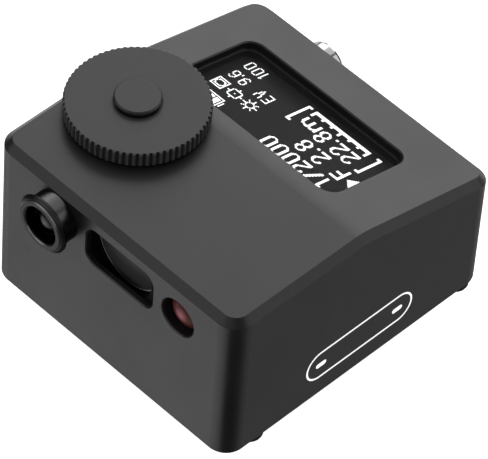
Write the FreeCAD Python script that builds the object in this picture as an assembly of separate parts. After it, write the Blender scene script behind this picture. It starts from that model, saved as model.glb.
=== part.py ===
import math
import os

import FreeCAD
import Part

# All sizes are in millimetres. The working frame has its origin at the lower
# front left corner of the housing; every piece is moved to the shared frame,
# whose origin is the middle of the underside of the accessory-shoe foot.

# driving dimensions: housing
BODY_W = 37.0
BODY_D = 40.2
FRONT_H = 21.4
CREASE_Y = 19.76
SLOPE_DEG = 14.08
CREASE_R = 8.4
CORNER_R = 2.5
TOP_CHAMFER = 0.9
EDGE_BREAK = 0.3
WALL = 1.6
FRONT_WALL = 1.7
TOP_WALL = 1.5
RIM_WALL = 0.6
BASE_T = 1.4
MOUTH_BEVEL = 0.15

# driving dimensions: accessory-shoe foot (the sizes cameras share)
SHOE_W = 18.6
SHOE_L = 18.0
SHOE_T = 2.0
NECK_W = 12.3
BODY_Z = 4.2

# driving dimensions: display
SCREEN_X = 17.72
SCREEN_V = 7.99
SCREEN_W = 24.21
SCREEN_L = 12.87
SCREEN_R = 1.8
SCREEN_WALL = 1.0
OLED_DEPTH = 2.0
OLED_W = 26.7
OLED_L = 15.4
OLED_T = 1.4
OLED_X = 17.74
OLED_V = 8.23

# driving dimensions: optics on the front
BARREL_X = 10.0
BARREL_Z = 17.25
BARREL_R = 3.1
RING_R = 3.6
BARREL_OUT = 2.6
BORE_R = 2.42
LENS_R = 1.45
LENS_Y = -1.9
NECK_R = 2.25
WINDOW_X = 19.68
WINDOW_Z = 16.59
WINDOW_W = 10.24
WINDOW_H = 5.28
WINDOW_R = 1.5
WINDOW_LIP = 0.7
RX_X = 19.15
RX_Z = 17.2
RX_R = 4.85
RX_Y = 2.1
LASER_X = 28.65
LASER_Z = 16.43
LASER_R = 2.34

# driving dimensions: dial and centre button
DIAL_X = 7.66
DIAL_Y = 13.83
DIAL_R = 8.14
DIAL_TEETH = 69
DIAL_LOW = 0.25
DIAL_TOP = 2.15
KNURL_DEPTH = 0.25
CAP_R = 2.68
CAP_OUT = 0.7
CAP_TRAVEL = 0.5
SHAFT_R = 3.0
RUN = 0.05

# driving dimensions: rear button
REAR_X = 9.88
REAR_Z = 12.15
REAR_R = 2.55
REAR_OUT = 1.7
REAR_TRAVEL = 0.8

# driving dimensions: inside
BOARD_Z = 7.9
BOARD_T = 1.0
SCREW_X = (4.6, 32.4)
SCREW_Y = (3.5, 34.9)
FOOT_R = 1.6
FOOT_H = 1.4
FOOT_X = (2.02, 34.98)
FOOT_Y = (5.67, 37.92)

SLOPE = math.radians(SLOPE_DEG)
V = FreeCAD.Vector
OUT_DIR = "parts"
MOVE = V(-BODY_W / 2.0, -BODY_D / 2.0, BODY_Z)


def box(x0, x1, y0, y1, z0, z1):
    return Part.makeBox(x1 - x0, y1 - y0, z1 - z0, V(x0, y0, z0))


def cyl_z(x, y, z0, z1, r):
    return Part.makeCylinder(r, z1 - z0, V(x, y, z0), V(0, 0, 1))


def cyl_y(x, z, y0, y1, r):
    return Part.makeCylinder(r, y1 - y0, V(x, y0, z), V(0, 1, 0))


def cone_z(x, y, z0, z1, r0, r1):
    return Part.makeCone(r0, r1, z1 - z0, V(x, y, z0), V(0, 0, 1))


def cone_y(x, z, y0, y1, r0, r1):
    return Part.makeCone(r0, r1, y1 - y0, V(x, y0, z), V(0, 1, 0))


def lathe_z(x, y, points):
    """Turn a closed (radius, z) outline about the vertical axis at x, y."""
    pts = [V(x + r, y, z) for r, z in points]
    face = Part.Face(Part.makePolygon(pts + [pts[0]]))
    return face.revolve(V(x, y, 0), V(0, 0, 1), 360)


def lathe_y(x, z, points):
    """Turn a closed (radius, y) outline about the axis along Y at x, z."""
    pts = [V(x + r, y, z) for r, y in points]
    face = Part.Face(Part.makePolygon(pts + [pts[0]]))
    return face.revolve(V(x, 0, z), V(0, 1, 0), 360)


def round_slab(w, l, t, r):
    """Slab centred on the origin, corners rounded, from z = -t to z = 0."""
    slab = Part.makeBox(w, l, t, V(-w / 2.0, -l / 2.0, -t))
    return round_upright(slab, r)


def round_upright(shape, r):
    edges = []
    for e in shape.Edges:
        a = e.Vertexes[0].Point
        b = e.Vertexes[-1].Point
        if abs(a.x - b.x) < 1e-6 and abs(a.y - b.y) < 1e-6:
            edges.append(e)
    return shape.makeFillet(r, edges)


def on_slope(shape, x, v, depth):
    """Lay a slab drawn on the origin onto the sloping rear deck."""
    s = shape.copy()
    s.rotate(V(0, 0, 0), V(1, 0, 0), -SLOPE_DEG)
    y = CREASE_Y + v * math.cos(SLOPE) - depth * math.sin(SLOPE)
    z = FRONT_H - v * math.sin(SLOPE) - depth * math.cos(SLOPE)
    s.translate(V(x, y, z))
    return s


def deck_z(y, depth):
    """Height of the sloping deck, or of a plane at some depth under it."""
    return FRONT_H - math.tan(SLOPE) * (y - CREASE_Y) - depth / math.cos(SLOPE)


def body_block(side, front, top, z0, corner):
    """Solid with the housing's outline, set in by the given wall sizes."""
    y0 = front
    y1 = BODY_D - side
    zf = FRONT_H - top
    yc = CREASE_Y - top * math.tan(SLOPE / 2.0)
    rad = CREASE_R - top
    t = rad * math.tan(SLOPE / 2.0)
    a = V(side, yc - t, zf)
    b = V(side, yc + t * math.cos(SLOPE), zf - t * math.sin(SLOPE))
    half = SLOPE / 2.0
    m = V(side, yc - t + rad * math.sin(half), zf - rad + rad * math.cos(half))
    p0 = V(side, y0, z0)
    p1 = V(side, y0, zf)
    p2 = V(side, y1, deck_z(y1, top))
    p3 = V(side, y1, z0)
    edges = [Part.makeLine(p0, p1), Part.makeLine(p1, a)]
    edges.append(Part.Arc(a, m, b).toShape())
    edges.append(Part.makeLine(b, p2))
    edges.append(Part.makeLine(p2, p3))
    edges.append(Part.makeLine(p3, p0))
    face = Part.Face(Part.Wire(edges))
    block = face.extrude(V(BODY_W - 2 * side, 0, 0))
    return round_upright(block, corner)


def top_rim_edges(block):
    """Edges where the top surfaces meet the upright sides."""
    picked = []
    for e in block.Edges:
        mid = e.valueAt((e.FirstParameter + e.LastParameter) / 2.0)
        low = min(v.Point.z for v in e.Vertexes)
        if low < 10:
            continue
        near_x = min(mid.x, BODY_W - mid.x)
        near_y = min(mid.y, BODY_D - mid.y)
        if min(near_x, near_y) < 0.9 and not is_upright(e):
            picked.append(e)
    return picked


def is_upright(e):
    a = e.Vertexes[0].Point
    b = e.Vertexes[-1].Point
    return abs(a.x - b.x) < 1e-6 and abs(a.y - b.y) < 1e-6


def bottom_edges(block):
    return [e for e in block.Edges if e.BoundBox.ZMax < 0.001]


def housing_outer():
    block = body_block(0.0, 0.0, 0.0, 0.0, CORNER_R)
    block = block.makeChamfer(TOP_CHAMFER, top_rim_edges(block))
    return block.makeFillet(EDGE_BREAK, bottom_edges(block))


def base_recess(extra, z0, z1):
    s = RIM_WALL + extra
    plate = box(s, BODY_W - s, s, BODY_D - s, z0, z1)
    return round_upright(plate, CORNER_R - s)


def housing_bosses():
    """Columns the long base screws bite into, tied to the side walls."""
    z0 = BOARD_Z + BOARD_T
    z1 = z0 + 3.5
    out = []
    for x in SCREW_X:
        wall = 0.8 if x < BODY_W / 2.0 else BODY_W - 0.8
        for y in SCREW_Y:
            rod = cyl_z(x, y, z0, z1, 2.2)
            rib = box(min(x, wall), max(x, wall), y - 2.2, y + 2.2, z0, z1)
            out.append(rod.fuse(rib))
            if y < BODY_D / 2.0:
                out.append(box(x - 2.2, x + 2.2, 0.8, y, z0, z1))
    return out


def window_cutter(depth0, depth1):
    slab = round_slab(WINDOW_W, WINDOW_H, depth1 - depth0, WINDOW_R)
    slab.rotate(V(0, 0, 0), V(1, 0, 0), 90)
    slab.translate(V(WINDOW_X, depth0, WINDOW_Z))
    return slab


def mouth_bevel(w, l, r):
    """Tapered cutter that breaks the edge of a rounded opening."""
    b = MOUTH_BEVEL
    slab = round_slab(w + 2 * b, l + 2 * b, 2 * b, r + b)
    low = [e for e in slab.Edges if e.BoundBox.ZMax < 0.001 - 2 * b]
    return slab.makeChamfer(b, low)


NOSE = (13.95, 24.4, 12.0, 19.55)
NOSE_GAP = 0.05


def nose_block(gap, y1):
    """Front of the optics frame, let into the back of the front wall."""
    x0, x1, z0, z1 = NOSE
    return box(x0 - gap, x1 + gap, WINDOW_LIP, y1, z0 - gap, z1 + gap)


def window_bevel():
    slab = mouth_bevel(WINDOW_W, WINDOW_H, WINDOW_R)
    slab.rotate(V(0, 0, 0), V(1, 0, 0), 90)
    slab.translate(V(WINDOW_X, -MOUTH_BEVEL, WINDOW_Z))
    return slab


def make_housing():
    shell = housing_outer()
    cavity = body_block(WALL, FRONT_WALL, TOP_WALL, BASE_T, 0.9)
    shell = shell.cut(cavity)
    shell = shell.cut(base_recess(0.0, -1.0, BASE_T))
    outer = housing_outer()
    for boss in housing_bosses():
        shell = shell.fuse(boss.common(outer))
    for x in SCREW_X:
        for y in SCREW_Y:
            shell = shell.cut(cyl_z(x, y, BASE_T, BOARD_Z + BOARD_T + 3.1, 0.8))
    shell = shell.cut(window_cutter(-1.0, 3.0))
    shell = shell.cut(window_bevel())
    shell = shell.cut(nose_block(NOSE_GAP, 3.0))
    shell = shell.cut(cyl_y(LASER_X, LASER_Z, -1.0, 3.0, LASER_R))
    b = MOUTH_BEVEL
    shell = shell.cut(cone_y(LASER_X, LASER_Z, -b, b, LASER_R + 2 * b, LASER_R))
    shell = shell.cut(cyl_y(BARREL_X, BARREL_Z, -1.0, 3.0, NECK_R + RUN))
    shell = shell.cut(cyl_z(DIAL_X, DIAL_Y, 19.0, 23.0, 3.55))
    shell = shell.cut(cyl_y(REAR_X, REAR_Z, 36.0, 42.0, REAR_R + 0.35))
    screen = round_slab(SCREEN_W, SCREEN_L, 6.0, SCREEN_R)
    shell = shell.cut(on_slope(screen, SCREEN_X, SCREEN_V, -2.0))
    mouth = mouth_bevel(SCREEN_W, SCREEN_L, SCREEN_R)
    shell = shell.cut(on_slope(mouth, SCREEN_X, SCREEN_V, -b))
    seat = round_slab(OLED_W + 0.6, OLED_L + 0.6, 2.0, 0.8)
    shell = shell.cut(on_slope(seat, OLED_X, OLED_V, SCREEN_WALL))
    shell = shell.cut(usb_outline(-1.0, 3.0, 0.10))
    return shell.removeSplitter()


def usb_outline(x0, x1, extra):
    """Rounded outline of the charging socket, along X through the left wall."""
    w = 8.94 + 2 * extra
    h = 3.16 + 2 * extra
    slab = round_slab(h, w, x1 - x0, h / 2.0 - 0.01)
    slab.rotate(V(0, 0, 0), V(0, 1, 0), -90)
    slab.translate(V(x0, USB_Y, USB_Z))
    return slab


USB_Y = 27.0
USB_Z = BOARD_Z - 1.58


def make_base_plate():
    plate = base_recess(RUN, 0.0, BASE_T)
    for x in SCREW_X:
        for y in SCREW_Y:
            plate = plate.cut(cyl_z(x, y, -1.0, 3.0, 0.85))
            plate = plate.cut(cone_z(x, y, -0.01, 0.81, 1.61, 0.8))
    for y in SHOE_SCREW_Y:
        plate = plate.cut(cyl_z(BODY_W / 2.0, y, -1.0, 3.0, 1.0))
    return plate


SHOE_SCREW_Y = (BODY_D / 2.0 - 5.0, BODY_D / 2.0 + 5.0)


def make_base_screws():
    parts = []
    for x in SCREW_X:
        for y in SCREW_Y:
            head = cone_z(x, y, 0.05, 0.80, 1.5, 0.78)
            rod = cyl_z(x, y, 0.75, BOARD_Z + BOARD_T + 2.9, 0.8)
            screw = head.fuse(rod)
            parts.append(cross_recess(screw, x, y, 0.05))
    return Part.makeCompound(parts)


def cross_recess(screw, x, y, z):
    """Cut a small crosshead recess upward into a downward-facing head."""
    a = box(x - 0.85, x + 0.85, y - 0.16, y + 0.16, z - 0.1, z + 0.35)
    b = box(x - 0.16, x + 0.16, y - 0.85, y + 0.85, z - 0.1, z + 0.35)
    return screw.cut(a).cut(b)


def make_rubber_feet():
    parts = []
    for x in FOOT_X:
        for y in FOOT_Y:
            dome = lathe_z(x, y, [(0, 0), (FOOT_R, 0), (FOOT_R, 0.25 - FOOT_H),
                                  (FOOT_R - 0.08, 0.08 - FOOT_H),
                                  (FOOT_R - 0.25, -FOOT_H), (0, -FOOT_H)])
            parts.append(dome)
    return Part.makeCompound(parts)


def make_shoe_foot():
    cx = BODY_W / 2.0
    cy = BODY_D / 2.0
    plate = box(cx - SHOE_W / 2.0, cx + SHOE_W / 2.0, cy - SHOE_L / 2.0,
                cy + SHOE_L / 2.0, -BODY_Z, -BODY_Z + SHOE_T)
    plate = round_upright(plate, 0.8)
    low = [e for e in plate.Edges if e.BoundBox.ZMax < -BODY_Z + 0.001]
    plate = plate.makeChamfer(0.3, low)
    neck = box(cx - NECK_W / 2.0, cx + NECK_W / 2.0, cy - SHOE_L / 2.0 + 0.6,
               cy + SHOE_L / 2.0 - 0.6, -BODY_Z + SHOE_T, 0.0)
    foot = plate.fuse(neck).removeSplitter()
    for y in SHOE_SCREW_Y:
        foot = foot.cut(cyl_z(cx, y, -BODY_Z - 1.0, 1.0, 1.0))
        foot = foot.cut(cone_z(cx, y, -BODY_Z - 0.01, -BODY_Z + 1.0, 2.0, 1.0))
    return foot


def make_shoe_screws():
    parts = []
    for y in SHOE_SCREW_Y:
        x = BODY_W / 2.0
        z = -BODY_Z + 0.1
        head = cone_z(x, y, z, z + 0.92, 1.86, 0.95)
        rod = cyl_z(x, y, z + 0.9, BASE_T, 0.98)
        parts.append(cross_recess(head.fuse(rod), x, y, z))
    return Part.makeCompound(parts)


def make_display_window():
    slab = round_slab(SCREEN_W - 0.1, SCREEN_L - 0.1, 0.5, SCREEN_R - 0.05)
    return on_slope(slab, SCREEN_X, SCREEN_V, SCREEN_WALL - 0.5)


def make_display_gasket():
    t = OLED_DEPTH - SCREEN_WALL
    ring = round_slab(OLED_W, OLED_L, t, 0.6)
    ring = on_slope(ring, OLED_X, OLED_V, SCREEN_WALL)
    w, l, r = SCREEN_W - 0.36, SCREEN_L - 0.36, SCREEN_R - 0.18
    ring = ring.cut(on_slope(round_slab(w, l, t + 2.0, r), SCREEN_X, SCREEN_V, SCREEN_WALL - 1.0))
    return ring.cut(on_slope(mouth_bevel(w, l, r), SCREEN_X, SCREEN_V, SCREEN_WALL - MOUTH_BEVEL))


def make_oled_glass():
    slab = round_slab(OLED_W, OLED_L, OLED_T, 0.3)
    return on_slope(slab, OLED_X, OLED_V, OLED_DEPTH)


def make_oled_board():
    slab = round_slab(OLED_W - 0.4, OLED_L - 0.4, 1.0, 0.5)
    return on_slope(slab, OLED_X, OLED_V, OLED_DEPTH + OLED_T)


FRAME_X0 = 13.9
FRAME_X1 = 32.5
FRAME_Y1 = 13.0
FRAME_Z1 = FRONT_H - TOP_WALL - 0.05


def make_rangefinder_frame():
    block = box(FRAME_X0, FRAME_X1, FRONT_WALL, FRAME_Y1, 12.6, FRAME_Z1)
    leg = box(FRAME_X0, 28.0, FRONT_WALL, FRAME_Y1, BOARD_Z + BOARD_T, 12.6)
    frame = block.fuse(leg).fuse(nose_block(0.0, FRONT_WALL)).removeSplitter()
    frame = frame.cut(rx_bore(0.0, RX_Y + 2.3, RX_R + 0.02))
    frame = frame.cut(rx_bore(4.3, 10.0, 3.6))
    frame = frame.cut(cyl_y(RX_X, RX_Z, 9.9, 14.0, 2.35))
    frame = frame.cut(cyl_y(LASER_X, LASER_Z, 0.0, 2.6, LASER_R - 0.1))
    frame = frame.cut(cyl_y(LASER_X, LASER_Z, 2.5, 9.5, 1.5))
    return frame.cut(cyl_y(LASER_X, LASER_Z, 9.4, 14.0, 2.8))


def rx_bore(y0, y1, r):
    """Receiver bore: round, with its top trimmed under the lid."""
    rod = cyl_y(RX_X, RX_Z, y0, y1, r)
    return rod.common(box(0, BODY_W, y0, y1, 0, FRAME_Z1 - 0.25))


def make_receiver_lens():
    """Shallow domed lens with a narrow ground bevel round its front rim."""
    rim = rx_bore(RX_Y - 0.6, RX_Y + 2.1, RX_R)
    ball_r = 40.0
    ball = Part.makeSphere(ball_r, V(RX_X, RX_Y - 0.28 + ball_r, RX_Z))
    edge = cone_y(RX_X, RX_Z, RX_Y - 0.6, RX_Y + 2.4, RX_R - 0.72, RX_R + 2.28)
    return rim.common(ball).common(edge)


def make_receiver_diode():
    can = cyl_y(RX_X, RX_Z, 10.0, 12.6, 2.3)
    flange = cyl_y(RX_X, RX_Z, 12.4, FRAME_Y1, 2.35)
    return can.fuse(flange).removeSplitter()


def make_receiver_board():
    return box(FRAME_X0 + 0.4, FRAME_X1 - 0.4, FRAME_Y1, FRAME_Y1 + 1.0, 12.8, 19.4)


def make_laser_lens():
    """Strongly domed lens of the laser sender."""
    apex = 0.45
    ball_r = 3.2
    rod = cyl_y(LASER_X, LASER_Z, apex, 2.5, LASER_R - 0.1)
    ball = Part.makeSphere(ball_r, V(LASER_X, apex + ball_r, LASER_Z))
    return rod.common(ball)


def make_laser_diode():
    can = cyl_y(LASER_X, LASER_Z, 9.5, 12.4, 2.3)
    return can.fuse(cyl_y(LASER_X, LASER_Z, 11.8, FRAME_Y1, 2.8)).removeSplitter()


def make_sensor_barrel():
    """Barrel body, lens tube and threaded neck, one turned part."""
    tube = LENS_R + 0.2
    out = [(LENS_R, -1.72), (tube, -1.72), (tube, -0.9), (2.3, -0.9)]
    out += [(2.3, -1.86), (2.95, -1.86), (2.95, -1.78), (BARREL_R, -1.7)]
    out += [(BARREL_R, 0.0), (NECK_R, 0.0), (NECK_R, 4.4)]
    out += [(1.75, 4.4), (1.75, 0.6), (LENS_R, 0.6)]
    return lathe_y(BARREL_X, BARREL_Z, out)


def make_barrel_ring():
    """Front ring: flat face between two bevels, a step behind it, and a groove in the bore."""
    r = RING_R
    y = -BARREL_OUT
    bevel = 0.14
    out = [(BORE_R + bevel, y), (3.15 - bevel, y), (3.15, y + bevel), (3.15, y + 0.22)]
    out += [(3.28, y + 0.22), (r, y + 0.5), (r, -1.96), (r - 0.1, -1.86), (2.3, -1.86)]
    out += [(2.3, y + 0.4), (BORE_R, y + 0.4), (BORE_R, y + 0.3)]
    out += [(BORE_R - 0.08, y + 0.25), (BORE_R, y + 0.2), (BORE_R, y + bevel)]
    return lathe_y(BARREL_X, BARREL_Z, out)


def make_sensor_lens():
    rod = cyl_y(BARREL_X, BARREL_Z, LENS_Y, 0.55, LENS_R)
    ball = Part.makeSphere(1.9, V(BARREL_X, LENS_Y + 1.9, BARREL_Z))
    return rod.common(ball)


def make_light_sensor():
    disc = cyl_y(BARREL_X, BARREL_Z, 3.2, 4.2, 1.74)
    chip = box(BARREL_X - 1.1, BARREL_X + 1.1, 2.5, 3.2, BARREL_Z - 1.1, BARREL_Z + 1.1)
    return disc.fuse(chip).removeSplitter()


def make_barrel_nut():
    ring = cyl_y(BARREL_X, BARREL_Z, FRONT_WALL, FRONT_WALL + 1.3, 2.6)
    ring = ring.cut(cyl_y(BARREL_X, BARREL_Z, 1.0, 4.0, NECK_R))
    for dx in (-1, 1):
        x = BARREL_X + dx * 2.6
        slot = box(x - 0.25, x + 0.25, 1.0, 4.0, BARREL_Z - 0.5, BARREL_Z + 0.5)
        ring = ring.cut(slot)
    return ring


def make_main_board():
    board = box(2.2, 34.8, 2.3, 37.9, BOARD_Z, BOARD_Z + BOARD_T)
    board = round_upright(board, 0.8)
    for x in SCREW_X:
        for y in SCREW_Y:
            board = board.cut(cyl_z(x, y, BOARD_Z - 1, BOARD_Z + 2, 0.9))
    return board


def make_board_spacers():
    parts = []
    for x in SCREW_X:
        for y in SCREW_Y:
            tube = cyl_z(x, y, BASE_T, BOARD_Z, 1.75)
            parts.append(tube.cut(cyl_z(x, y, 0.0, 9.0, 0.9)))
    return Part.makeCompound(parts)


def make_processor():
    z = BOARD_Z + BOARD_T
    return box(19.5, 26.5, 20.5, 27.5, z, z + 0.9)


def make_battery():
    pack = box(9.4, 29.8, 5.0, 33.6, BASE_T, BASE_T + 5.2)
    return pack.makeFillet(1.0, pack.Edges)


def make_usb_port():
    shell = usb_outline(0.35, 7.6, 0.0)
    mouth = usb_outline(0.0, 6.6, -0.32)
    tongue = box(1.1, 6.8, USB_Y - 3.35, USB_Y + 3.35, USB_Z - 0.35, USB_Z + 0.35)
    return shell.cut(mouth).fuse(tongue).removeSplitter()


ENC_Z0 = 14.9
ENC_Z1 = FRONT_H - TOP_WALL


def make_encoder_body():
    h = 4.8
    case = box(DIAL_X - h, DIAL_X + h, DIAL_Y - h, DIAL_Y + h, ENC_Z0, ENC_Z1)
    case = round_upright(case, 0.5)
    case = case.cut(cyl_z(DIAL_X, DIAL_Y, ENC_Z0 + 0.5, ENC_Z1 + 1, SHAFT_R + RUN))
    return case.cut(cyl_z(DIAL_X, DIAL_Y, ENC_Z0 - 1, ENC_Z1, 1.15))


def make_encoder_bushing():
    tube = cyl_z(DIAL_X, DIAL_Y, ENC_Z1, FRONT_H + 0.9, 3.5)
    return tube.cut(cyl_z(DIAL_X, DIAL_Y, 10.0, 30.0, SHAFT_R + RUN))


def make_dial_nut():
    pts = []
    for i in range(7):
        a = math.radians(60 * i)
        r = 5.2
        pts.append(V(DIAL_X + r * math.cos(a), DIAL_Y + r * math.sin(a), FRONT_H))
    nut = Part.Face(Part.makePolygon(pts)).extrude(V(0, 0, 0.8))
    return nut.cut(cyl_z(DIAL_X, DIAL_Y, FRONT_H - 1, FRONT_H + 3, 3.5))


def make_encoder_shaft():
    top = FRONT_H + DIAL_TOP - 0.6
    rod = cyl_z(DIAL_X, DIAL_Y, ENC_Z0 + 0.6, top, SHAFT_R)
    rod = rod.cut(cyl_z(DIAL_X, DIAL_Y, 10.0, 30.0, 1.1 + RUN))
    return rod.cut(cyl_z(DIAL_X, DIAL_Y, FRONT_H - 0.4, top + 1, 2.2 + RUN))


def knurled_disc(z0, z1):
    """Disc with straight teeth round its rim."""
    pts = []
    n = DIAL_TEETH
    for i in range(n):
        for part, r in ((0.0, 0.0), (0.26, 0.0), (0.48, 1.0), (0.78, 1.0)):
            a = 2 * math.pi * (i + part) / n
            rad = DIAL_R - KNURL_DEPTH * r
            x = DIAL_X + rad * math.cos(a)
            y = DIAL_Y + rad * math.sin(a)
            pts.append(V(x, y, z0))
    wire = Part.makePolygon(pts + [pts[0]])
    return Part.Face(wire).extrude(V(0, 0, z1 - z0))


def make_dial_wheel():
    z0 = FRONT_H + DIAL_LOW
    z1 = FRONT_H + DIAL_TOP
    r = DIAL_R
    trim = [(0, z0), (r - 0.2, z0), (r, z0 + 0.2), (r, z1 - 0.22)]
    trim += [(r - 0.06, z1 - 0.08), (r - 0.22, z1), (0, z1)]
    wheel = knurled_disc(z0, z1).common(lathe_z(DIAL_X, DIAL_Y, trim))
    wheel = wheel.cut(cyl_z(DIAL_X, DIAL_Y, z0 - 1, z1 - 1.05, 6.6))
    wheel = wheel.cut(cyl_z(DIAL_X, DIAL_Y, z0, z1 - 0.6, SHAFT_R))
    return wheel.cut(cyl_z(DIAL_X, DIAL_Y, z0, z1 + 1, CAP_R + RUN))


def make_dial_button():
    """Stem and cap; the cap is a thin disc with a bevelled top edge, standing clear of the dial."""
    face = FRONT_H + DIAL_TOP
    top = face + CAP_OUT
    low = face + 0.3
    step = face - 1.4
    out = [(0, 13.35), (1.1, 13.35), (1.1, step), (2.2, step), (2.2, low)]
    out += [(CAP_R, low), (CAP_R, top - 0.14), (CAP_R - 0.18, top), (0, top)]
    return lathe_z(DIAL_X, DIAL_Y, out)


def make_dial_switch():
    z = BOARD_Z + BOARD_T
    case = box(DIAL_X - 3, DIAL_X + 3, DIAL_Y - 3, DIAL_Y + 3, z, z + 3.4)
    return case.fuse(cyl_z(DIAL_X, DIAL_Y, z + 3.4, z + 3.85, 1.2))


def make_rear_button():
    end = BODY_D + REAR_OUT
    r = REAR_R
    out = [(0, 36.0), (r + 0.25, 36.0), (r + 0.25, 36.8), (r, 36.8)]
    out += [(r, end - 0.35), (r - 0.1, end - 0.1), (r - 0.35, end), (0, end)]
    return lathe_y(REAR_X, REAR_Z, out)


def make_rear_sleeve():
    tube = cyl_y(REAR_X, REAR_Z, 37.15, BODY_D, REAR_R + 0.35)
    return tube.cut(cyl_y(REAR_X, REAR_Z, 30.0, 45.0, REAR_R + RUN))


def make_rear_switch():
    z = BOARD_Z + BOARD_T
    case = box(REAR_X - 3, REAR_X + 3, 31.6, 34.6, z, z + 3.5)
    return case.fuse(box(REAR_X - 1, REAR_X + 1, 34.6, 35.1, z + 1.6, z + 3.0))


PIECES = {
    "main_housing": make_housing,
    "base_plate": make_base_plate,
    "base_screws": make_base_screws,
    "rubber_feet": make_rubber_feet,
    "shoe_foot": make_shoe_foot,
    "shoe_foot_screws": make_shoe_screws,
    "display_window": make_display_window,
    "display_gasket": make_display_gasket,
    "oled_glass": make_oled_glass,
    "oled_board": make_oled_board,
    "rangefinder_frame": make_rangefinder_frame,
    "receiver_lens": make_receiver_lens,
    "receiver_diode": make_receiver_diode,
    "receiver_board": make_receiver_board,
    "laser_lens": make_laser_lens,
    "laser_diode": make_laser_diode,
    "sensor_barrel": make_sensor_barrel,
    "barrel_ring": make_barrel_ring,
    "sensor_lens": make_sensor_lens,
    "light_sensor": make_light_sensor,
    "barrel_nut": make_barrel_nut,
    "main_board": make_main_board,
    "board_spacers": make_board_spacers,
    "processor_chip": make_processor,
    "battery": make_battery,
    "usb_port": make_usb_port,
    "encoder_body": make_encoder_body,
    "encoder_bushing": make_encoder_bushing,
    "encoder_shaft": make_encoder_shaft,
    "dial_nut": make_dial_nut,
    "dial_wheel": make_dial_wheel,
    "dial_button": make_dial_button,
    "dial_switch": make_dial_switch,
    "rear_button": make_rear_button,
    "rear_button_sleeve": make_rear_sleeve,
    "rear_switch": make_rear_switch,
}


def main():
    os.makedirs(OUT_DIR, exist_ok=True)
    for name, maker in PIECES.items():
        shape = maker()
        shape.translate(MOVE)
        solids = len(shape.Solids)
        print(name, "solids", solids, "valid", shape.isValid(), round(shape.Volume, 2))
        shape.exportStep(os.path.join(OUT_DIR, name + ".step"))


main()
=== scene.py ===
import math

import bpy
import numpy as np
from mathutils import Matrix, Vector


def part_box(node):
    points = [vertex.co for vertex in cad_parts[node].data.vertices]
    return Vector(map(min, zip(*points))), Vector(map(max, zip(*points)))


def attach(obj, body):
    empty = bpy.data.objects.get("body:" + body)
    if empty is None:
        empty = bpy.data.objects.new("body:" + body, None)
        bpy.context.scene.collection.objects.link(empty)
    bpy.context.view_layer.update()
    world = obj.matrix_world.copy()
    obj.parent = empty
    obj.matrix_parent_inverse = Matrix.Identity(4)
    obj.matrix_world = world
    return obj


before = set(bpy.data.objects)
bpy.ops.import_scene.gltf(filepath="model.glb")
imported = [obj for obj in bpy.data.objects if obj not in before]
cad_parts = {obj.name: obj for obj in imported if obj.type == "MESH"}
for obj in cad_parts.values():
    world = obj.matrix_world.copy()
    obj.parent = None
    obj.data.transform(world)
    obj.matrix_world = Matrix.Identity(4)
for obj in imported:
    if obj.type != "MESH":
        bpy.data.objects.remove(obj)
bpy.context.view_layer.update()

MM = 0.001

# Camera: angles in degrees, the rest in mm. Its axis passes the target by the two offsets
AZIMUTH, ELEVATION, ROLL = 42.117, 48.046, -4.62
TARGET = (0.0, -0.1, 15.1)
OFF_RIGHT, OFF_DOWN, DISTANCE = -0.143, -2.582, 500.513
LENS, SENSOR_WIDTH = 337.426, 36.0

# Display grid: its dots, its sizes in mm, and the dot position over the middle of the glass
ROWS, COLS = 64, 128
DOT_PITCH = 0.1685
DOT_THICK, DOT_LIFT = 0.008, 0.012
GRID_MID_COL, GRID_MID_ROW = 63.6, 31.6
SPOTS = [(c, r) for r in range(ROWS) for c in range(COLS)]

# Side print, mm: its height is from the housing's lowest point, a dash's place from the middle
PRINT_WIDE, PRINT_TALL, PRINT_LINE = 16.38, 4.29, 0.24
PRINT_HEIGHT, PRINT_THICK, PRINT_SUNK = 5.02, 0.018, 0.004
DASH_WIDE, DASH_TALL, DASH_ARC = 1.56, 0.66, 12
DASHES = (("side_dash_front", -5.94), ("side_dash_rear", 5.84))

# Turned finishes: radius in mm, and the tone from there out; these tones paint light and shade on
# the turned parts
# Barrel: near black inside 2.6 mm, painted shade in the bore; lighter outside
BARREL_BORE_SHADE_BANDS = ((2.6, 0.09),)
# Ring: the 0.22 bands are painted highlights along its edges; the near-black bore and the darker
# outer bands are painted shade
RING_HIGHLIGHT_SHADE_BANDS = ((2.42, 0.22), (2.57, 0.075), (3.01, 0.22), (3.16, 0.05), (3.40, 0.038))

# Studio: the floor's height in mm, the rest in metres
FLOOR_HALF, FLOOR_Z = 3.0, -0.05
WORLD_LEVEL = 0.04
LIGHT_DISTANCE = 1.0
LIGHT_AIM = (0, 0, 0.015)
SOFT_BOXES = (
    # name, direction from the object, width and height in degrees, radiance
    ("overhead", (-0.27, 0.27, 0.92), 74, 74, 0.91),
    ("back_high", (-0.448, 0.76, 0.46), 60, 44, 2.02),
    ("front_low_left", (-0.37, -0.575, -0.73), 68, 58, 0.84),
    ("front_high_left", (-0.448, -0.744, 0.45), 50, 50, 0.98),
    ("right_high", (0.68, 0.60, 0.40), 56, 50, 1.05),
    ("right_low", (0.46, 0.54, -0.71), 50, 50, 0.28),
    ("left_low", (-0.80, 0.45, -0.40), 60, 60, 0.9),
    ("right_side", (0.95, -0.05, -0.30), 36, 36, 0.7),
    ("back_low", (0.05, 0.90, -0.43), 46, 40, 0.8),
    ("front_fill", (0.36, -0.86, 0.36), 44, 36, 0.8),
)


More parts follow.
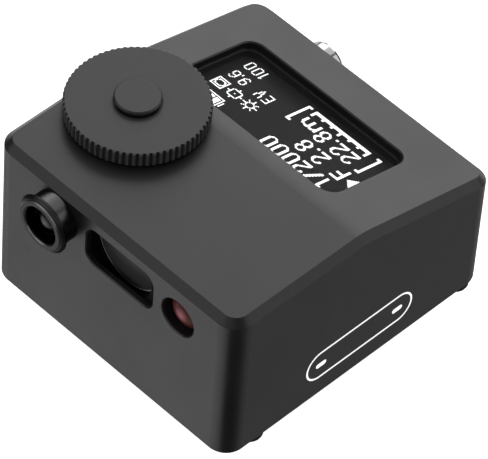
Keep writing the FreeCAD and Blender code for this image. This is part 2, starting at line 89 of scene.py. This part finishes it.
# ------------------------------------------------------------------ camera
def make_camera():
    """Long lens looking down at the front right corner, a little rolled."""
    az, el, roll = (math.radians(v) for v in (AZIMUTH, ELEVATION, ROLL))
    look = Vector((-math.sin(az) * math.cos(el), math.cos(az) * math.cos(el), -math.sin(el)))
    flat = Vector((math.cos(az), math.sin(az), 0.0))
    level = look.cross(flat)
    right = math.cos(roll) * flat + math.sin(roll) * level
    down = -math.sin(roll) * flat + math.cos(roll) * level
    target = Vector(TARGET) * MM
    place = target - (OFF_RIGHT * right + OFF_DOWN * down + DISTANCE * look) * MM
    data = bpy.data.cameras.new("camera")
    data.sensor_width = SENSOR_WIDTH
    data.lens = LENS
    data.clip_start = 0.01
    data.clip_end = 10.0
    cam = bpy.data.objects.new("camera", data)
    turn = Matrix((right, -down, -look)).transposed()
    cam.matrix_world = Matrix.Translation(place) @ turn.to_4x4()
    bpy.context.scene.collection.objects.link(cam)
    bpy.context.scene.camera = cam


# --------------------------------------------------------------- node tools
class Tree:
    """Short ways to add and join shader nodes."""

    def __init__(self, name):
        self.mat = bpy.data.materials.new(name)
        self.mat.use_nodes = True
        self.nt = self.mat.node_tree
        self.bsdf = self.nt.nodes["Principled BSDF"]
        self.pos = self.add("ShaderNodeTexCoord").outputs["Object"]

    def add(self, kind, **props):
        n = self.nt.nodes.new(kind)
        for k, v in props.items():
            setattr(n, k, v)
        return n

    def put(self, socket, value):
        if isinstance(value, bpy.types.NodeSocket):
            self.nt.links.new(value, socket)
        else:
            socket.default_value = value

    def set(self, **values):
        for k, v in values.items():
            self.put(self.bsdf.inputs[k.replace("_", " ")], v)

    def math(self, op, a, b=0.0):
        n = self.add("ShaderNodeMath", operation=op)
        for s, v in zip(n.inputs, (a, b)):
            self.put(s, v)
        return n.outputs[0]

    def vmath(self, op, a, b=(0, 0, 0)):
        """Vector math, giving a number for a length or a dot product."""
        n = self.add("ShaderNodeVectorMath", operation=op)
        self.put(n.inputs[0], a)
        self.put(n.inputs[1], b)
        return n.outputs["Value"] if op in ("LENGTH", "DOT_PRODUCT") else n.outputs["Vector"]

    def noise(self, size_mm, detail=2.0, rough=0.5, vec=None):
        n = self.add("ShaderNodeTexNoise")
        self.put(n.inputs["Vector"], vec or self.pos)
        self.put(n.inputs["Scale"], 1.0 / (size_mm * MM))
        self.put(n.inputs["Detail"], detail)
        self.put(n.inputs["Roughness"], rough)
        return n.outputs["Fac"]

    def cells(self, size_mm):
        """Distance to the middle of the nearest of many scattered cells."""
        n = self.add("ShaderNodeTexVoronoi", feature="F1")
        self.put(n.inputs["Vector"], self.pos)
        self.put(n.inputs["Scale"], 1.0 / (size_mm * MM))
        return n.outputs["Distance"]

    def remap(self, value, a0, a1, b0, b1):
        """Stretch a0 to a1 over b0 to b1, held at both ends."""
        n = self.add("ShaderNodeMapRange")
        for s, v in zip(n.inputs, (value, a0, a1, b0, b1)):
            self.put(s, v)
        return n.outputs[0]

    def spread(self, noise, low, high):
        """Stretch the values that a noise mostly takes over low to high."""
        return self.remap(noise, 0.3, 0.7, low, high)

    def mix(self, fac, a, b):
        n = self.add("ShaderNodeMix", data_type="RGBA")
        self.put(n.inputs["Factor"], fac)
        self.put(n.inputs[6], rgba(a))
        self.put(n.inputs[7], rgba(b))
        return n.outputs[2]

    def radius(self, centre, axis):
        """Distance from an axis through centre, along X (0), Y (1) or Z (2)."""
        keep = tuple(0.0 if i == axis else 1.0 for i in range(3))
        rel = self.vmath("SUBTRACT", self.pos, tuple(centre))
        return self.vmath("LENGTH", self.vmath("MULTIPLY", rel, keep))

    def bump(self, height, depth_mm):
        n = self.add("ShaderNodeBump")
        self.put(n.inputs["Height"], height)
        self.put(n.inputs["Distance"], depth_mm * MM)
        self.set(Normal=n.outputs["Normal"])

    def edges(self, radius_mm):
        """1 along sharp edges, 0 on open surfaces."""
        soft = self.add("ShaderNodeBevel", samples=4)
        self.put(soft.inputs["Radius"], radius_mm * MM)
        true = self.add("ShaderNodeNewGeometry").outputs["Normal"]
        dot = self.vmath("DOT_PRODUCT", soft.outputs["Normal"], true)
        return self.remap(dot, 0.985, 0.80, 0.0, 1.0)


def rgba(v):
    """A socket as it is, or a grey or colour with alpha 1."""
    if isinstance(v, bpy.types.NodeSocket):
        return v
    if isinstance(v, (int, float)):
        v = (v, v, v)
    return (*v[:3], 1.0)


# ---------------------------------------------------------------- materials
def coat(name, base, rough, grain=0.16, edge=0.0, spec=0.5, teeth=None):
    """Fine-textured black coating on metal, worn along edges by the amount edge.

    teeth = (middle, root radius, tip radius, tone) paints the tips of a knurl lighter than its
    grooves: a painted highlight on the tips and painted shade in the grooves.
    """
    t = Tree(name)
    cloud = t.noise(6.0, 3.0)
    speck = t.noise(grain, 2.0, 0.6)
    tone = t.mix(t.spread(cloud, 0.0, 1.0), base * 0.85, base * 1.15)
    tone = t.mix(t.remap(speck, 0.58, 0.75, 0.0, 0.5), tone, base * 2.2)
    r = t.math("ADD", t.spread(cloud, rough - 0.03, rough + 0.03),
               t.remap(speck, 0.35, 0.65, -0.04, 0.04))
    if edge:
        worn = t.math("MULTIPLY", t.edges(0.14), t.remap(t.noise(0.9), 0.35, 0.62, 0.0, edge))
        tone = t.mix(worn, tone, base * 4.0)
        r = t.math("SUBTRACT", r, t.math("MULTIPLY", worn, 0.12))
    if teeth:
        # Painted highlight on the knurl tips, painted shade in the grooves: tone by radius from
        # root to tip.
        middle, root, tip, level = teeth
        tip_highlight = t.remap(t.radius(middle, 2), root, tip, 0.0, 1.0)
        tone = t.mix(tip_highlight, tone, level)
    t.set(Base_Color=tone, Roughness=r, Metallic=0.0, Specular_IOR_Level=spec)
    t.bump(speck, 0.004)
    return t.mat


def turned(name, base, rough, middle, bands=()):
    """Lathe-turned part: fine rings about the Y axis under a black finish, its tone stepped in
    bands of radius that paint highlights and shade.
    """
    pitch = 0.09
    soft = 0.04
    t = Tree(name)
    radius = t.radius(middle, 1)
    wave = t.math("SINE", t.math("MULTIPLY", radius, 2 * math.pi / (pitch * MM)))
    speck = t.noise(0.12, 2.0)
    cloud = t.noise(2.5, 3.0)
    tone = t.mix(t.spread(cloud, 0.0, 1.0), base * 0.85, base * 1.12)
    # Bands of tone by radius: painted highlights and painted shade.
    for start, level in bands:
        beyond = t.remap(radius, (start - soft) * MM, (start + soft) * MM, 0.0, 1.0)
        tone = t.mix(beyond, tone, level)
    r = t.math("ADD", t.remap(wave, -1.0, 1.0, rough - 0.03, rough + 0.03),
               t.spread(speck, -0.04, 0.04))
    t.set(Base_Color=tone, Roughness=r, Metallic=1.0, Specular_Tint=rgba(0.55))
    t.bump(t.math("ADD", wave, t.math("MULTIPLY", speck, 1.5)), 0.003)
    return t.mat


def metal(name, base, rough):
    """Bare or plated metal with hair scratches and faint stains."""
    t = Tree(name)
    stretch = t.vmath("MULTIPLY", t.pos, (1.0, 14.0, 9.0))
    hair = t.noise(0.9, 4.0, 0.7, vec=stretch)
    cloud = t.noise(1.8, 3.0)
    tone = t.mix(t.remap(cloud, 0.35, 0.7, 0.0, 1.0), [c * 0.92 for c in base], base)
    r = t.math("ADD", t.remap(hair, 0.4, 0.62, rough, rough + 0.05), t.spread(cloud, 0.0, 0.04))
    t.set(Base_Color=tone, Metallic=1.0, Roughness=r)
    t.bump(hair, 0.0006)
    return t.mat


def plastic(name, base, rough, spec=0.5):
    """Moulded plastic with a fine grain and a cloudy tone."""
    vary = 0.15
    t = Tree(name)
    speck = t.noise(0.2, 3.0, 0.6)
    cloud = t.noise(3.0, 3.0)
    lo = [c * (1 - vary) for c in base]
    hi = [c * (1 + vary) for c in base]
    t.set(Base_Color=t.mix(t.spread(cloud, 0.0, 1.0), lo, hi),
          Roughness=t.spread(speck, rough - 0.06, rough + 0.06), Specular_IOR_Level=spec)
    t.bump(speck, 0.006)
    return t.mat


def board(name):
    """Green solder mask over a maze of copper tracks, with tinned pads."""
    t = Tree(name)
    bricks = t.add("ShaderNodeTexBrick")
    t.put(bricks.inputs["Vector"], t.pos)
    t.put(bricks.inputs["Scale"], 900.0)
    t.put(bricks.inputs["Mortar Size"], 0.035)
    track = bricks.outputs["Fac"]
    pads = t.remap(t.cells(1.7), 0.16, 0.19, 1.0, 0.0)
    green = t.mix(track, (0.006, 0.055, 0.028), (0.012, 0.11, 0.05))
    tone = t.mix(pads, green, (0.62, 0.6, 0.55))
    t.set(Base_Color=tone, Roughness=t.spread(t.noise(0.3), 0.28, 0.42),
          Metallic=t.math("MULTIPLY", pads, 0.9))
    t.bump(t.math("ADD", track, pads), 0.02)
    return t.mat


def foil(name):
    """Crinkled silver battery pouch."""
    t = Tree(name)
    fold = t.noise(2.4, 4.0, 0.65)
    t.set(Base_Color=t.mix(fold, (0.42, 0.43, 0.45), (0.62, 0.63, 0.65)), Metallic=0.85,
          Roughness=t.spread(fold, 0.28, 0.45))
    t.bump(fold, 0.12)
    return t.mat


def rubber(name):
    """Matt black rubber with a little dust."""
    t = Tree(name)
    speck = t.noise(0.12, 4.0, 0.7)
    dust = t.remap(t.noise(0.7, 3.0), 0.55, 0.75, 0.0, 0.35)
    t.set(Base_Color=t.mix(dust, (0.010, 0.010, 0.010), (0.045, 0.044, 0.042)),
          Roughness=t.spread(speck, 0.68, 0.86))
    t.bump(speck, 0.012)
    return t.mat


def optic(name, middle, radius, inner, outer, rough, core=0.0, reach=1.0, rim=0.0, spec=0.5):
    """Coated lens facing Y over a dark bore, with a ground rim of width rim, painted pale, partly a
    painted highlight along the lens edge.

    Its colour goes from inner to outer between core and reach, as parts of the radius: a lighter
    middle painted as the lens's highlight, darker towards its edge.
    """
    t = Tree(name)
    smear = t.noise(1.1, 3.0, 0.6)
    far = t.radius(middle, 1)
    # Painted highlight: the lens lighter in the middle, fading outwards.
    highlight_fall = t.remap(far, core * radius, reach * radius, 0.0, 1.0)
    tone = t.mix(highlight_fall, inner, outer)
    r = t.remap(smear, 0.4, 0.7, rough, rough + 0.05)
    # Ground rim painted pale: partly a painted edge highlight.
    if rim:
        edge = t.remap(far, radius - rim, radius - rim * 0.7, 0.0, 1.0)
        tone = t.mix(edge, tone, 0.8)
        r = t.math("MAXIMUM", r, t.math("MULTIPLY", edge, 0.45))
    t.set(Base_Color=tone, Roughness=r, Specular_IOR_Level=spec)
    t.bump(smear, 0.0006)
    return t.mat


def clear(name):
    """Bonded clear window with an anti-reflective finish and a faint wiped film."""
    t = Tree(name)
    smear = t.noise(2.0, 3.0)
    t.set(Base_Color=t.mix(smear, (0.01, 0.01, 0.012), (0.03, 0.03, 0.032)), Alpha=0.05,
          Roughness=t.remap(smear, 0.4, 0.7, 0.20, 0.22), Specular_IOR_Level=0.2)
    return t.mat


def display(name):
    """Unlit display glass: almost black, with a faint grid of dots and a faint cloud."""
    t = Tree(name)
    grid = t.add("ShaderNodeTexChecker")
    t.put(grid.inputs["Vector"], t.pos)
    t.put(grid.inputs["Scale"], 1.0 / (DOT_PITCH * MM))
    cloud = t.noise(5.0, 2.0)
    tone = t.mix(grid.outputs["Fac"], 0.0225, 0.0235)
    tone = t.mix(t.spread(cloud, 0.0, 0.15), tone, 0.020)
    t.set(Base_Color=tone, Roughness=t.spread(cloud, 0.30, 0.33), Specular_IOR_Level=0.03)
    return t.mat


def lit(name):
    """Lit dots: a faintly uneven cool white that gives off its own light."""
    t = Tree(name)
    fine = t.noise(0.4, 1.0)
    tone = t.mix(fine, (0.93, 0.95, 0.97), (1.0, 1.0, 1.0))
    t.set(Base_Color=rgba(0.8), Roughness=0.6, Emission_Color=tone, Emission_Strength=1.0)
    return t.mat


def ink(name):
    """White printed ink: chalky, slightly uneven, and lit from itself so that it reads white."""
    t = Tree(name)
    cover = t.noise(0.10, 3.0, 0.65)
    tone = t.mix(t.remap(cover, 0.32, 0.45, 0.0, 1.0), (0.6, 0.6, 0.6), (0.9, 0.9, 0.89))
    t.set(Base_Color=tone, Roughness=t.spread(cover, 0.5, 0.65), Emission_Color=tone,
          Emission_Strength=1.0)
    t.bump(cover, 0.004)
    return t.mat


def centre(node):
    lo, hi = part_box(node)
    return (lo + hi) / 2


def half_width(node):
    lo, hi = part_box(node)
    return (hi.x - lo.x) / 2


def dress(node, mat):
    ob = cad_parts[node]
    ob.data.materials.clear()
    ob.data.materials.append(mat)


def receiver_circle():
    """Middle and radius of the receiving lens, which is cut off at the top."""
    lo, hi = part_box("receiver_lens")
    radius = (hi.x - lo.x) / 2
    return Vector(((lo.x + hi.x) / 2, 0.0, lo.z + radius)), radius


def dress_all():
    """Gives every node its material."""
    dial_r = half_width("dial_wheel")
    # Knurl tips painted lighter than the grooves: painted highlight and painted shade.
    knurl = (centre("dial_wheel"), dial_r - 0.27 * MM, dial_r - 0.04 * MM, 0.10)
    barrel = centre("sensor_barrel")
    rear = centre("rear_button")
    housing = coat("housing_coat", 0.013, 0.39, edge=0.5)
    dark = coat("dark_coat", 0.011, 0.46, edge=0.4)
    steel = metal("black_oxide", (0.05, 0.05, 0.052), 0.36)
    plated = metal("plated_metal", (0.62, 0.61, 0.58), 0.24)
    case = plastic("moulded_black", (0.016, 0.016, 0.017), 0.55)
    green = board("circuit_board")
    receiver, receiver_r = receiver_circle()
    looks = {
        "main_housing": housing,
        "base_plate": dark,
        "base_screws": steel,
        "rubber_feet": rubber("foot_rubber"),
        "shoe_foot": coat("foot_coat", 0.015, 0.38, 0.25, edge=0.9),
        "shoe_foot_screws": steel,
        "display_window": clear("clear_window"),
        "display_gasket": plastic("gasket_black", (0.003, 0.003, 0.003), 0.5, spec=0.3),
        "oled_glass": display("display_glass"),
        "oled_board": green,
        "rangefinder_frame": plastic("frame_black", (0.004, 0.004, 0.004), 0.7, spec=0.1),
        # Each lens's lighter middle is a painted highlight; the receiver's pale rim is partly a
        # painted edge highlight.
        "receiver_lens": optic("receiver_glass", receiver, receiver_r, 0.085, 0.07, 0.3,
                               rim=0.28 * MM, spec=0.2),
        "receiver_diode": plated,
        "receiver_board": green,
        "laser_lens": optic("laser_glass", centre("laser_lens"), half_width("laser_lens"),
                            (0.58, 0.20, 0.25), (0.15, 0.042, 0.040), 0.2,
                            core=0.05, reach=0.42, spec=0.06),
        "laser_diode": plated,
        "sensor_barrel": turned("barrel_turned", 0.003, 0.27, barrel, BARREL_BORE_SHADE_BANDS),
        "barrel_ring": turned("ring_turned", 0.004, 0.34, barrel, RING_HIGHLIGHT_SHADE_BANDS),
        "sensor_lens": optic("sensor_glass", barrel, half_width("sensor_lens"), 0.2, 0.01, 0.24,
                             reach=0.6, spec=0.15),
        "light_sensor": green,
        "barrel_nut": turned("nut_turned", 0.05, 0.4, barrel),
        "main_board": green,
        "board_spacers": metal("spacer_brass", (0.66, 0.47, 0.2), 0.3),
        "processor_chip": plastic("chip_black", (0.02, 0.02, 0.02), 0.5),
        "battery": foil("battery_foil"),
        "usb_port": plated,
        "encoder_body": case,
        "encoder_bushing": plated,
        "encoder_shaft": steel,
        "dial_nut": steel,
        "dial_wheel": coat("dial_coat", 0.034, 0.42, edge=0.6, spec=0.38, teeth=knurl),
        "dial_button": coat("button_coat", 0.034, 0.42, edge=0.3, spec=0.38),
        "dial_switch": case,
        "rear_button": metal("polished_metal", (0.52, 0.52, 0.515), 0.12),
        "rear_button_sleeve": turned("sleeve_turned", 0.05, 0.35, rear),
        "rear_switch": case,
    }
    for node, mat in looks.items():
        dress(node, mat)


# ------------------------------------------------------------- mesh helpers
def mesh_piece(name, verts, faces, mat, body):
    """A new piece that rides on a body."""
    me = bpy.data.meshes.new(name)
    me.from_pydata([tuple(v) for v in verts], [], faces)
    me.validate()
    me.update()
    ob = bpy.data.objects.new(name, me)
    bpy.context.scene.collection.objects.link(ob)
    me.materials.append(mat)
    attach(ob, body)
    return ob


def slab_from_outline(outline, origin, ax, ay, up, thick, base=0):
    """Vertices and faces of a thin plate with the given flat outline, numbered from base."""
    n = len(outline)
    low = [origin + ax * x + ay * y for x, y in outline]
    top = [p + up * thick for p in low]
    faces = [tuple(base + n + i for i in range(n))]
    faces.append(tuple(base + i for i in reversed(range(n))))
    for i in range(n):
        j = (i + 1) % n
        faces.append((base + i, base + j, base + n + j, base + n + i))
    return low + top, faces


# ------------------------------------------------------------ display image
DIGITS = {
    "0": ["..####..", ".##..##.", "##....##", "##....##", "##....##", "##....##", "##....##",
          "##....##", "##....##", "##....##", "##....##", "##....##", ".##..##.", "..####.."],
    "1": ["..##", ".###", "####", "..##", "..##", "..##", "..##",
          "..##", "..##", "..##", "..##", "..##", "..##", "..##"],
    "2": ["..####..", ".##..##.", "##....##", "##....##", "......##", "......##", ".....##.",
          "....##..", "...##...", "..##....", ".##.....", "##......", "########", "########"],
    "8": ["..####..", ".##..##.", "##....##", "##....##", "##....##", ".##..##.", "..####..",
          ".##..##.", "##....##", "##....##", "##....##", "##....##", ".##..##.", "..####.."],
    "F": ["########", "########", "##......", "##......", "##......", "##......", "#######.",
          "#######.", "##......", "##......", "##......", "##......", "##......", "##......"],
    ".": ["##", "##"],
    "m": ["##.###.###...", "#############", "###...##...##", "##....##....##", "##....##....##",
          "##....##....##", "##....##....##", "##....##....##", "##....##....##"],
}
SMALL = {
    "E": ["#####", "#....", "#....", "#....", "####.", "#....", "#....", "#....", "#....", "#####"],
    "V": ["#...#", "#...#", "#...#", "#...#", ".#.#.", ".#.#.", ".#.#.", ".#.#.", "..#..", "..#.."],
    "9": [".###.", "#...#", "#...#", "#...#", "#...#", ".####", "....#", "....#", "#..#.", ".##.."],
    "6": ["..##.", ".#..#", "#....", "#....", "####.", "#...#", "#...#", "#...#", "#...#", ".###."],
    "1": [".#", "##", ".#", ".#", ".#", ".#", ".#", ".#", ".#", ".#"],
    "0": [".###.", "#...#", "#...#", "#...#", "#...#", "#...#", "#...#", "#...#", "#...#", ".###."],
    ".": ["#", "#"],
}


class Screen:
    """A grid of dots to draw the reading on, by column and row from the top left."""

    def __init__(self):
        self.on = np.zeros((ROWS, COLS), bool)

    def stamp(self, glyph, col, row):
        for j, line in enumerate(glyph):
            for i, ch in enumerate(line):
                if ch == "#":
                    self.on[row + j, col + i] = True

    def bars(self, *boxes):
        """Filled boxes, each from one column and row up to another."""
        for c0, c1, r0, r1 in boxes:
            self.on[r0:r1, c0:c1] = True

    def stroke(self, c0, r0, c1, r1, wide):
        """A straight stroke between two dot positions."""
        length = math.hypot(c1 - c0, r1 - r0)
        for c, r in SPOTS:
            t = ((c - c0) * (c1 - c0) + (r - r0) * (r1 - r0)) / length ** 2
            t = min(1.0, max(0.0, t))
            if math.hypot(c - c0 - t * (c1 - c0), r - r0 - t * (r1 - r0)) <= wide / 2:
                self.on[r, c] = True

    def ring(self, col, row, radius, wide):
        for c, r in SPOTS:
            if abs(math.hypot(c - col, r - row) - radius) <= wide / 2:
                self.on[r, c] = True


def reading():
    """The reading: shutter speed, aperture, distance, exposure value, film speed and icons."""
    s = Screen()
    shutter, aperture, distance = 3, 21, 39
    for ch, col in (("1", 10), ("2", 27), ("0", 37), ("0", 47), ("0", 57)):
        s.stamp(DIGITS[ch], col, shutter)
    s.stroke(17.5, 16, 24, 3, 2.2)
    for ch, col in (("F", 9), ("2", 27), ("8", 42)):
        s.stamp(DIGITS[ch], col, aperture)
    s.stamp(DIGITS["."], 37, aperture + 12)
    for ch, col in (("2", 17), ("2", 27), ("8", 42)):
        s.stamp(DIGITS[ch], col, distance)
    s.stamp(DIGITS["."], 37, distance + 12)
    s.stamp(DIGITS["m"], 52, distance + 5)
    marks(s)
    exposure, film_speed = 37, 53
    for ch, col in (("E", 90), ("V", 97), ("9", 112), ("6", 121)):
        s.stamp(SMALL[ch], col, exposure)
    s.stamp(SMALL["."], 119, exposure + 8)
    for ch, col in (("1", 111), ("0", 115), ("0", 122)):
        s.stamp(SMALL[ch], col, film_speed)
    icons(s)
    return s.on


def marks(s):
    """Arrow beside the aperture, brackets round the distance, and its scale."""
    s.bars(*((i, i + 1, 22 + i, 33 - i) for i in range(6)))
    for c0, c1 in ((7, 11), (70, 74)):
        s.bars((c0, c1, 39, 41), (c0, c1, 61, 63))
    s.bars((7, 9, 39, 63), (72, 74, 39, 63), (17, 67, 60, 63))
    for i, col in enumerate(range(17, 66, 8)):
        tall = 4 if i % 3 == 0 else 2
        s.bars((col, col + 2, 60 - tall, 60))


def icons(s):
    """Sun, crossed square, framed ring and battery."""
    s.ring(94, 26, 2.9, 1.3)
    for k in range(8):
        a = math.radians(45 * k)
        s.stroke(94 + 4.2 * math.cos(a), 26 + 4.2 * math.sin(a),
                 94 + 6.3 * math.cos(a), 26 + 6.3 * math.sin(a), 1.2)
    s.bars((105, 112, 22, 23), (105, 112, 30, 31), (104, 105, 23, 30), (112, 113, 23, 30),
           (108, 109, 26, 27),
           (102, 104, 26, 27), (113, 115, 26, 27), (108, 109, 20, 22), (108, 109, 31, 33))
    s.bars((117, 127, 21, 22), (117, 127, 31, 32), (117, 118, 21, 32), (126, 127, 21, 32))
    s.ring(121.5, 26, 3.4, 1.1)
    s.bars((104, 105, 6, 12), (106, 126, 3, 4), (106, 107, 3, 15), (106, 126, 14, 15),
           *((c, c + 4, 5, 13) for c in (108, 113, 118)))


def deck_frame():
    """Origin and axes of the display glass: middle of its top, reading right, reading down, out."""
    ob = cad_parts["oled_glass"]
    co = np.array([v.co for v in ob.data.vertices], float)
    tilt = deck_tilt()
    back = np.array((0.0, math.cos(tilt), -math.sin(tilt)))
    out = np.array((0.0, math.sin(tilt), math.cos(tilt)))
    along, height = co @ back, co @ out
    mid = (along.min() + along.max()) / 2
    origin = back * mid + out * height.max()
    origin[0] = (co[:, 0].min() + co[:, 0].max()) / 2
    return Vector(origin), Vector((-1, 0, 0)), Vector(back), Vector(out)


def deck_tilt():
    """Slope of the display glass, from its own largest face."""
    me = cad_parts["oled_glass"].data
    best = max(me.polygons, key=lambda p: p.area if p.normal.z > 0.5 else 0.0)
    return math.atan2(best.normal.y, best.normal.z)


def runs(row):
    """Start and end of each run of lit dots in a row."""
    edge = np.flatnonzero(np.diff(np.concatenate(([0], row.astype(int), [0])))).tolist()
    return zip(edge[::2], edge[1::2])


def make_dots():
    """Lit dots just above the glass, a thin plate for each run, which light nothing else."""
    origin, right, down, out = deck_frame()
    pitch = DOT_PITCH * MM
    verts, faces = [], []
    start = (origin - right * (GRID_MID_COL * pitch) - down * (GRID_MID_ROW * pitch)
             + out * (DOT_LIFT * MM))
    for r, row in enumerate(reading()):
        for c0, c1 in runs(row):
            box = [(c0, r), (c1, r), (c1, r + 1), (c0, r + 1)]
            flat = [(x * pitch, y * pitch) for x, y in box]
            v, f = slab_from_outline(flat, start, right, down, out, DOT_THICK * MM, len(verts))
            verts += v
            faces += f
    dots = mesh_piece("display_dots", verts, faces, lit("lit_dots"), "housing")
    dots.visible_diffuse = False
    dots.visible_glossy = False


def stadium(w, h, n=24):
    """Outline of a round-ended bar, centred on the origin."""
    r = h / 2
    pts = []
    for side in (1, -1):
        for i in range(n + 1):
            a = -math.pi / 2 + math.pi * i / n
            pts.append((side * (w / 2 - r) + side * r * math.cos(a), side * r * math.sin(a)))
    return pts


def make_side_print():
    """Printed outline and two dashes on the right side, just proud of it."""
    lo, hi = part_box("main_housing")
    origin = Vector((hi.x, (lo.y + hi.y) / 2, lo.z + PRINT_HEIGHT * MM))
    ay, az, up = Vector((0, 1, 0)), Vector((0, 0, 1)), Vector((1, 0, 0))
    origin = origin - up * (PRINT_SUNK * MM)
    wide, tall, line, thick = (v * MM for v in (PRINT_WIDE, PRINT_TALL, PRINT_LINE, PRINT_THICK))
    outer = stadium(wide, tall)
    inner = stadium(wide - 2 * line, tall - 2 * line)
    n = len(outer)
    verts = [origin + ay * x + az * y + up * level
             for level in (0.0, thick) for shape in (outer, inner) for x, y in shape]
    faces = []
    o0, i0, o1, i1 = 0, n, 2 * n, 3 * n
    for i in range(n):
        j = (i + 1) % n
        faces.append((o1 + i, o1 + j, i1 + j, i1 + i))
        faces.append((o0 + j, o0 + i, i0 + i, i0 + j))
        faces.append((o0 + i, o0 + j, o1 + j, o1 + i))
        faces.append((i0 + j, i0 + i, i1 + i, i1 + j))
    white = ink("print_ink")
    mesh_piece("side_outline", verts, faces, white, "housing")
    dash = stadium(DASH_WIDE * MM, DASH_TALL * MM, DASH_ARC)
    for name, dy in DASHES:
        v, f = slab_from_outline(dash, origin + ay * (dy * MM), ay, az, up, thick)
        mesh_piece(name, v, f, white, "housing")


# ------------------------------------------------------------------- studio
def make_floor():
    """Plain pale floor that shows no shadow and gives no bounce light."""
    half, z = FLOOR_HALF, FLOOR_Z * MM
    me = bpy.data.meshes.new("studio_floor")
    corners = [(-half, -half, z), (half, -half, z), (half, half, z), (-half, half, z)]
    me.from_pydata(corners, [], [(0, 1, 2, 3)])
    ob = bpy.data.objects.new("studio_floor", me)
    bpy.context.scene.collection.objects.link(ob)
    t = Tree("pale_floor")
    t.set(Base_Color=t.mix(t.noise(400.0), 0.80, 0.82), Roughness=0.9, Emission_Strength=1.0,
          Emission_Color=rgba(1.0))
    me.materials.append(t.mat)
    ob.visible_diffuse = False
    ob.visible_glossy = False
    ob.visible_transmission = False
    ob.visible_shadow = False


def panel(name, direction, wide, tall, radiance):
    """Oval soft box facing the object, its power set by its area so that its radiance is even."""
    data = bpy.data.lights.new(name, "AREA")
    data.shape = "ELLIPSE"
    data.size = 2 * LIGHT_DISTANCE * math.tan(math.radians(wide / 2))
    data.size_y = 2 * LIGHT_DISTANCE * math.tan(math.radians(tall / 2))
    data.energy = radiance * math.pi * math.pi / 4 * data.size * data.size_y
    ob = bpy.data.objects.new(name, data)
    d = Vector(direction).normalized()
    ob.location = Vector(LIGHT_AIM) + d * LIGHT_DISTANCE
    ob.rotation_mode = "QUATERNION"
    ob.rotation_quaternion = d.to_track_quat("Z", "Y")
    bpy.context.scene.collection.objects.link(ob)


def make_lights():
    """A dim even room and the soft boxes."""
    world = bpy.data.worlds.new("studio")
    world.use_nodes = True
    bg = world.node_tree.nodes["Background"]
    bg.inputs["Color"].default_value = rgba(1.0)
    bg.inputs["Strength"].default_value = WORLD_LEVEL
    bpy.context.scene.world = world
    for box in SOFT_BOXES:
        panel(*box)


def main():
    bpy.context.scene.view_settings.view_transform = "Standard"
    make_camera()
    dress_all()
    make_dots()
    make_side_print()
    make_floor()
    make_lights()


main()
